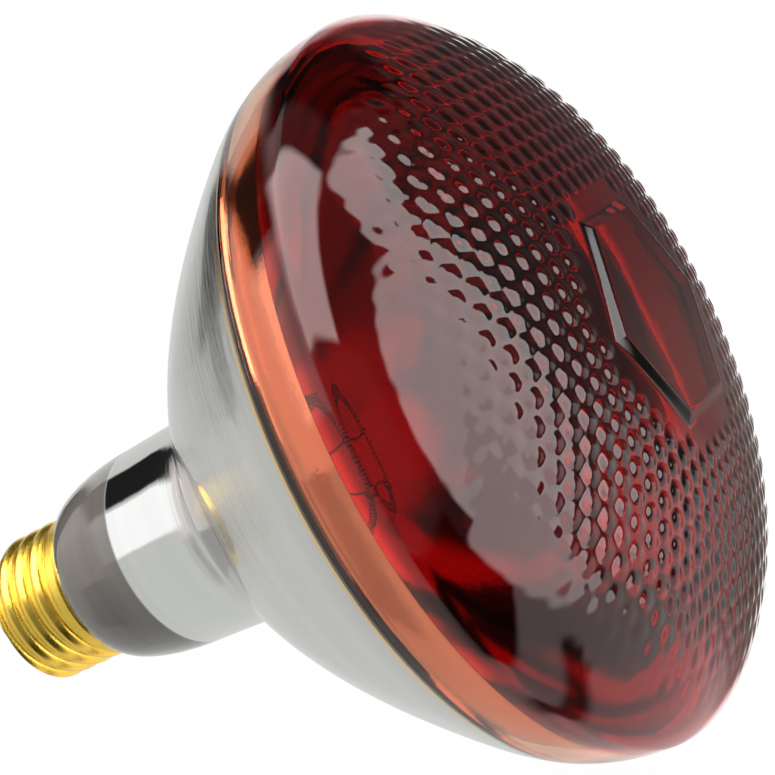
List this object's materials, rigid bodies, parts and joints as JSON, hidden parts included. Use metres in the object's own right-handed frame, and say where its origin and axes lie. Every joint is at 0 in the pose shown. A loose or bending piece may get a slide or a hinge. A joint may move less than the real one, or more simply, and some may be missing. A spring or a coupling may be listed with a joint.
{
  "type": "infrared heat lamp bulb",
  "caption": "Red infrared reflector heat lamp: brass screw cap, mirrored glass body and a domed red lens with raised bumps and a hexagonal pad.",
  "frame": {"origin": "centre of the flat solder tip on the end contact of the screw cap", "axes": "+Z along the lamp's axis from the cap to the lens; +X and +Y across the lens, with a corner of the hexagonal pad near -Y"},
  "size_m": [0.1216, 0.1216, 0.1365],
  "materials": {
    "cap_brass": "bright drawn brass with light handling marks",
    "solder": "dull tin solder",
    "black_glass": "opaque black glass, glossy",
    "cement": "dry basing cement, matt",
    "clear_glass": "clear hard glass, smooth",
    "mirror_film": "vacuum-deposited aluminium mirror with fine turned streaks",
    "red_glass": "deep red pressed glass, glossy",
    "tungsten": "drawn tungsten wire, coiled",
    "molybdenum": "drawn wire",
    "nickel": "drawn nickel wire",
    "copper_clad": "copper-coloured wire",
    "deflector_metal": "satin stamped sheet",
    "ceramic": "unglazed white ceramic"
  },
  "bodies": {
    "root": {"tip_solder": "solder", "centre_contact": "cap_brass", "cap_insulator": "black_glass", "screw_shell": "cap_brass", "side_solder": "solder", "basing_cement": "cement", "reflector_bowl": "clear_glass", "mirror_coating": "mirror_film", "front_lens": "red_glass", "stem_flare": "clear_glass", "exhaust_tube": "clear_glass", "arbor_rod": "clear_glass", "filament_supports": "molybdenum", "filament": "tungsten", "filament_clamps": "nickel", "inner_lead_left": "nickel", "inner_lead_right": "nickel", "seal_wires": "copper_clad", "outer_lead_centre": "copper_clad", "outer_lead_side": "copper_clad", "heat_deflector": "deflector_metal", "deflector_sleeves": "ceramic"}
  },
  "joints": []
}
